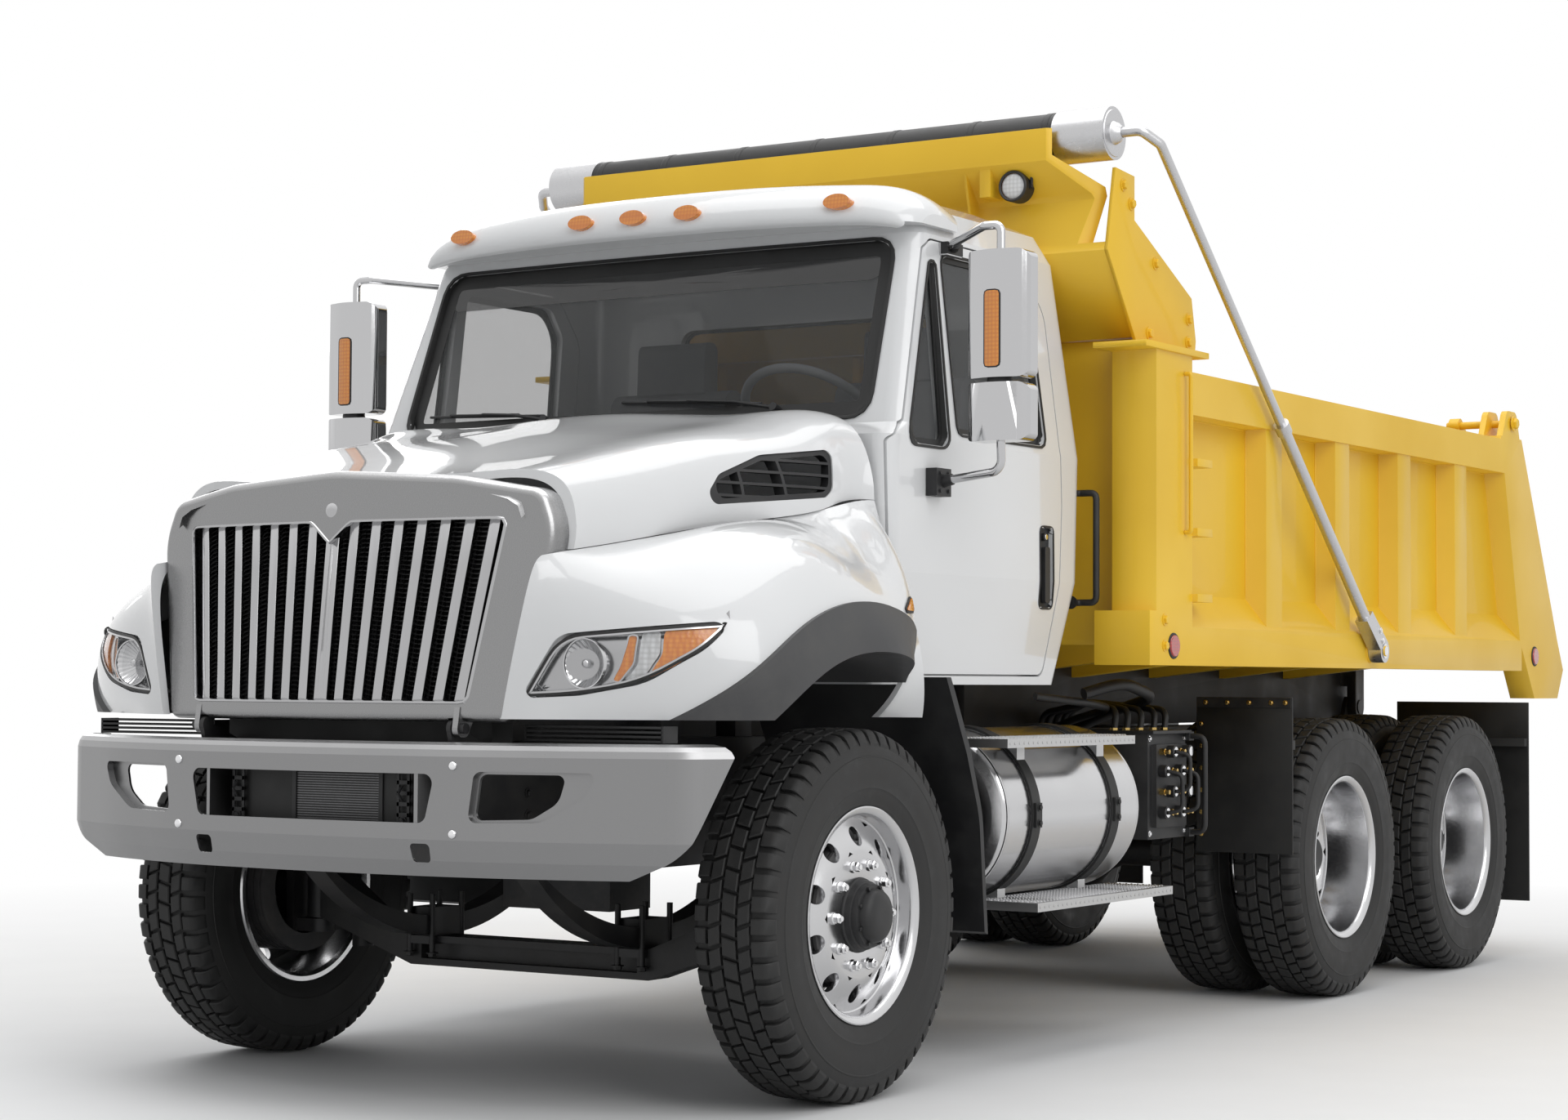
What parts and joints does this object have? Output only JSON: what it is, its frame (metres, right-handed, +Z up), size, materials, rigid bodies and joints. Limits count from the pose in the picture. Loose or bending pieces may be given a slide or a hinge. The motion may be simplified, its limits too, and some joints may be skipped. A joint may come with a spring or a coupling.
{
  "type": "dump truck",
  "caption": "conventional-cab tandem-axle dump truck with a tilting hood, opening doors, a hinged tipping body with a cab shield, a top-hung tailgate and a rolled tarp on swing arms",
  "frame": {"origin": "centre of the truck's box on the ground under the tyres", "axes": "+X to the truck's left, +Y to its rear, +Z up"},
  "size_m": [2.685, 6.9976, 3.0499],
  "materials": {
    "cab_white": "gloss",
    "body_yellow": "satin",
    "frame_black": "satin",
    "bumper_silver": "satin",
    "grille_silver": "satin",
    "grille_bright": "polished",
    "engine_iron": "cast",
    "radiator_black": "matte",
    "polished_aluminium": "polished",
    "step_aluminium": "ribbed",
    "black_plastic": "matte",
    "flap_rubber": "matte",
    "window_glass": "clear",
    "amber_lens": "clear",
    "headlight_lens": "clear",
    "interior_grey": "grained",
    "seat_cloth": "woven",
    "tyre": "matte",
    "mirror_chrome": "polished",
    "arm_grey": "satin",
    "tarp_vinyl": "woven vinyl",
    "hoist_grey": "satin",
    "rod_chrome": "polished"
  },
  "bodies": {
    "chassis": {"frame_rails": "frame_black", "frame_crossmembers": "frame_black", "frame_brackets": "frame_black", "front_bumper": "bumper_silver", "front_axle_beam": "frame_black", "front_springs": "frame_black", "rear_axles": "frame_black", "rear_suspension": "frame_black", "engine": "engine_iron", "radiator": "radiator_black", "fuel_tanks": "polished_aluminium", "tank_steps": "step_aluminium", "air_equipment": "black_plastic", "mudflaps": "flap_rubber", "front_mudguards": "black_plastic", "cab_shell": "cab_white", "cab_glass": "window_glass", "roof_visor": "cab_white", "marker_lamps": "amber_lens", "dashboard": "interior_grey", "seats": "seat_cloth"},
    "knuckle_left": {"knuckle_left": "frame_black"},
    "knuckle_right": {"knuckle_right": "frame_black"},
    "tie_rod": {"tie_rod": "frame_black"},
    "front_wheel_left": {"tyre_front_left": "tyre", "wheel_front_left": "polished_aluminium"},
    "front_wheel_right": {"tyre_front_right": "tyre", "wheel_front_right": "polished_aluminium"},
    "mid_wheels_left": {"tyres_mid_left": "tyre", "wheels_mid_left": "polished_aluminium"},
    "mid_wheels_right": {"tyres_mid_right": "tyre", "wheels_mid_right": "polished_aluminium"},
    "rear_wheels_left": {"tyres_rear_left": "tyre", "wheels_rear_left": "polished_aluminium"},
    "rear_wheels_right": {"tyres_rear_right": "tyre", "wheels_rear_right": "polished_aluminium"},
    "door_left": {"door_left": "cab_white", "door_glass_left": "window_glass", "mirror_left": "mirror_chrome"},
    "door_right": {"door_right": "cab_white", "door_glass_right": "window_glass", "mirror_right": "mirror_chrome"},
    "hood": {"hood_shell": "cab_white", "hood_vents": "black_plastic", "fenders": "cab_white", "fender_flares": "black_plastic", "headlights": "headlight_lens", "grille_surround": "grille_silver", "grille_bars": "grille_bright"},
    "dump_bed": {"bed_floor": "body_yellow", "bed_subframe": "frame_black", "bed_sides": "body_yellow", "bed_front_wall": "body_yellow", "cab_shield": "body_yellow", "shield_lamp": "amber_lens"},
    "tailgate": {"tailgate": "body_yellow"},
    "tarp_arm": {"tarp_arms": "arm_grey", "tarp_roll": "tarp_vinyl"},
    "hoist_barrel": {"hoist_barrel": "hoist_grey"},
    "hoist_rod": {"hoist_rod": "rod_chrome"}
  },
  "joints": [
    {"name": "steer_left", "type": "hinge", "parent": "chassis", "child": "knuckle_left", "pos_m": [0.845, -2.4538, 0.52], "axis": [0, 0, 1], "range_deg": [-35, 35]},
    {"name": "steer_right", "type": "hinge", "parent": "chassis", "child": "knuckle_right", "pos_m": [-0.845, -2.4538, 0.52], "axis": [0, 0, 1], "range_deg": [-35, 35]},
    {"name": "tie_rod_pivot", "type": "hinge", "parent": "knuckle_left", "child": "tie_rod", "pos_m": [0.845, -2.2538, 0.36], "axis": [0, 0, 1], "range_deg": [-35, 35]},
    {"name": "spin_front_left", "type": "hinge", "parent": "knuckle_left", "child": "front_wheel_left", "pos_m": [1.02, -2.4538, 0.52], "axis": [1, 0, 0], "continuous": true},
    {"name": "spin_front_right", "type": "hinge", "parent": "knuckle_right", "child": "front_wheel_right", "pos_m": [-1.02, -2.4538, 0.52], "axis": [1, 0, 0], "continuous": true},
    {"name": "spin_mid_left", "type": "hinge", "parent": "chassis", "child": "mid_wheels_left", "pos_m": [0.8985, 0.9872, 0.52], "axis": [1, 0, 0], "continuous": true},
    {"name": "spin_mid_right", "type": "hinge", "parent": "chassis", "child": "mid_wheels_right", "pos_m": [-0.8985, 0.9872, 0.52], "axis": [1, 0, 0], "continuous": true},
    {"name": "spin_rear_left", "type": "hinge", "parent": "chassis", "child": "rear_wheels_left", "pos_m": [0.8985, 2.3072, 0.52], "axis": [1, 0, 0], "continuous": true},
    {"name": "spin_rear_right", "type": "hinge", "parent": "chassis", "child": "rear_wheels_right", "pos_m": [-0.8985, 2.3072, 0.52], "axis": [1, 0, 0], "continuous": true},
    {"name": "open_door_left", "type": "hinge", "parent": "chassis", "child": "door_left", "pos_m": [1.012, -2.0968, 1.8], "axis": [0, 0, -1], "range_deg": [0, 65]},
    {"name": "open_door_right", "type": "hinge", "parent": "chassis", "child": "door_right", "pos_m": [-1.012, -2.0968, 1.8], "axis": [0, 0, 1], "range_deg": [0, 65]},
    {"name": "tilt_hood", "type": "hinge", "parent": "chassis", "child": "hood", "pos_m": [0, -3.4088, 1.04], "axis": [1, 0, 0], "range_deg": [0, 60]},
    {"name": "raise_bed", "type": "hinge", "parent": "chassis", "child": "dump_bed", "pos_m": [0, 2.8962, 1.065], "axis": [-1, 0, 0], "range_deg": [0, 45]},
    {"name": "swing_tailgate", "type": "hinge", "parent": "dump_bed", "child": "tailgate", "pos_m": [0, 2.7962, 2.282], "axis": [1, 0, 0], "range_deg": [0, 60]},
    {"name": "swing_tarp_arm", "type": "hinge", "parent": "dump_bed", "child": "tarp_arm", "pos_m": [0, 1.1422, 1.292], "axis": [-1, 0, 0], "range_deg": [0, 100]},
    {"name": "hoist_tilt", "type": "hinge", "parent": "chassis", "child": "hoist_barrel", "pos_m": [0, 0.2962, 0.8], "axis": [1, 0, 0], "range_deg": [0, 16]},
    {"name": "hoist_extend", "type": "slide", "parent": "hoist_barrel", "child": "hoist_rod", "axis": [0, 0.9828, 0.1846], "range_m": [0, 0.51]}
  ],
  "couplings": [
    {"joint": "steer_right", "follows": "steer_left", "ratio": 1},
    {"joint": "tie_rod_pivot", "follows": "steer_left", "ratio": -1},
    {"joint": "hoist_tilt", "follows": "raise_bed", "ratio": 0.34791},
    {"joint": "hoist_extend", "follows": "raise_bed", "m_per_rad": 0.64611}
  ]
}
